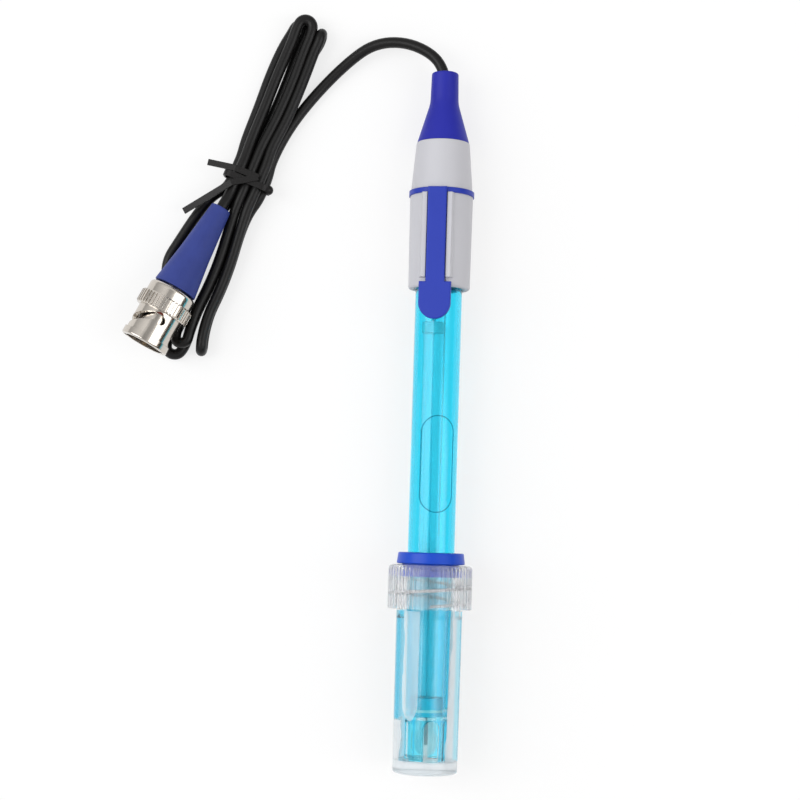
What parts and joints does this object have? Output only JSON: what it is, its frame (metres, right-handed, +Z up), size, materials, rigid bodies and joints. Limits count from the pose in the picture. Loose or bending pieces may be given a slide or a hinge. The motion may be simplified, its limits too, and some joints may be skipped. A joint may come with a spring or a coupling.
{
  "type": "ph electrode",
  "caption": "Combination pH electrode with a transparent blue body, pocket clip, storage bottle on its tip and a tied cable ending in a bayonet plug.",
  "frame": {"origin": "on the surface under the middle of the probe, as the object lies at rest", "axes": "+Z up, +Y along the probe toward its head, the clip facing up, the cable and plug on the -X side"},
  "size_m": [0.0915, 0.194, 0.0216],
  "materials": {
    "head_rubber": "matte royal blue flexible plastic",
    "clip_plastic": "satin blue moulded plastic",
    "seal_rubber": "smooth blue silicone",
    "plug_rubber": "matte greyish blue flexible plastic",
    "grey_plastic": "satin light grey moulded plastic",
    "tinted_plastic": "clear cyan tinted plastic",
    "stem_glass": "clear laboratory glass",
    "silver_wire": "drawn silver",
    "chloride_wire": "silver with a dark chloride coating",
    "porous_grey": "porous pale grey",
    "potting": "set resin, dull",
    "lead_sleeve": "thin insulated lead",
    "cable_jacket": "semi-gloss black jacket",
    "tie_plastic": "semi-gloss black strip",
    "nickel": "bright nickel plate",
    "spring_steel": "hardened steel",
    "pin_gold": "gold plate",
    "insulator_white": "white insulator",
    "gasket_rubber": "dull silicone rubber",
    "clear_cap": "clear plastic, slightly bluish",
    "clear_bottle": "clear plastic"
  },
  "bodies": {
    "electrode": {"cable_boot": "head_rubber", "pocket_clip": "clip_plastic", "plug_boot": "plug_rubber", "head_collar": "grey_plastic", "head_sleeve": "grey_plastic", "body_tube": "tinted_plastic", "glass_stem": "stem_glass", "reference_wire": "silver_wire", "sensing_wire": "chloride_wire", "stem_stopper": "porous_grey", "junction_frit": "porous_grey", "tube_potting": "potting", "base_seal": "potting", "inner_lead": "lead_sleeve", "cable_lead": "cable_jacket", "cable_hank": "cable_jacket", "plug_lead": "cable_jacket", "twist_tie": "tie_plastic", "plug_body": "nickel", "contact_sleeve": "nickel", "crimp_ferrule": "nickel", "spring_washer": "spring_steel", "retaining_ring": "spring_steel", "centre_pin": "pin_gold", "plug_insulator": "insulator_white", "front_gasket": "gasket_rubber"},
    "bottle": {"storage_bottle": "clear_bottle"},
    "seal": {"seal_plug": "seal_rubber"},
    "cap": {"bottle_cap": "clear_cap"},
    "washer": {"thrust_washer": "spring_steel"},
    "nut": {"coupling_nut": "nickel"}
  },
  "joints": [
    {"name": "bottle_slide", "type": "slide", "parent": "electrode", "child": "bottle", "axis": [0, -0.9997, 0.0237], "range_m": [0, 0.06]},
    {"name": "cap_lift", "type": "slide", "parent": "bottle", "child": "seal", "axis": [0, 0.9997, -0.0237], "range_m": [0, 0.008]},
    {"name": "cap_turn", "type": "hinge", "parent": "seal", "child": "cap", "pos_m": [0, -0.04268, 0.0108], "axis": [0, 0.9997, -0.0237], "range_deg": [0, 720]},
    {"name": "nut_slide", "type": "slide", "parent": "electrode", "child": "washer", "axis": [-0.45, -0.8869, 0.1045], "range_m": [0, 0.0008], "stiffness_N_per_m": 800, "springref_m": -0.002},
    {"name": "nut_turn", "type": "hinge", "parent": "washer", "child": "nut", "pos_m": [-0.0723, 0.02314, 0.00995], "axis": [-0.45, -0.8869, 0.1045], "continuous": true}
  ],
  "couplings": [
    {"joint": "cap_lift", "follows": "cap_turn", "m_per_rad": 0.000636}
  ]
}
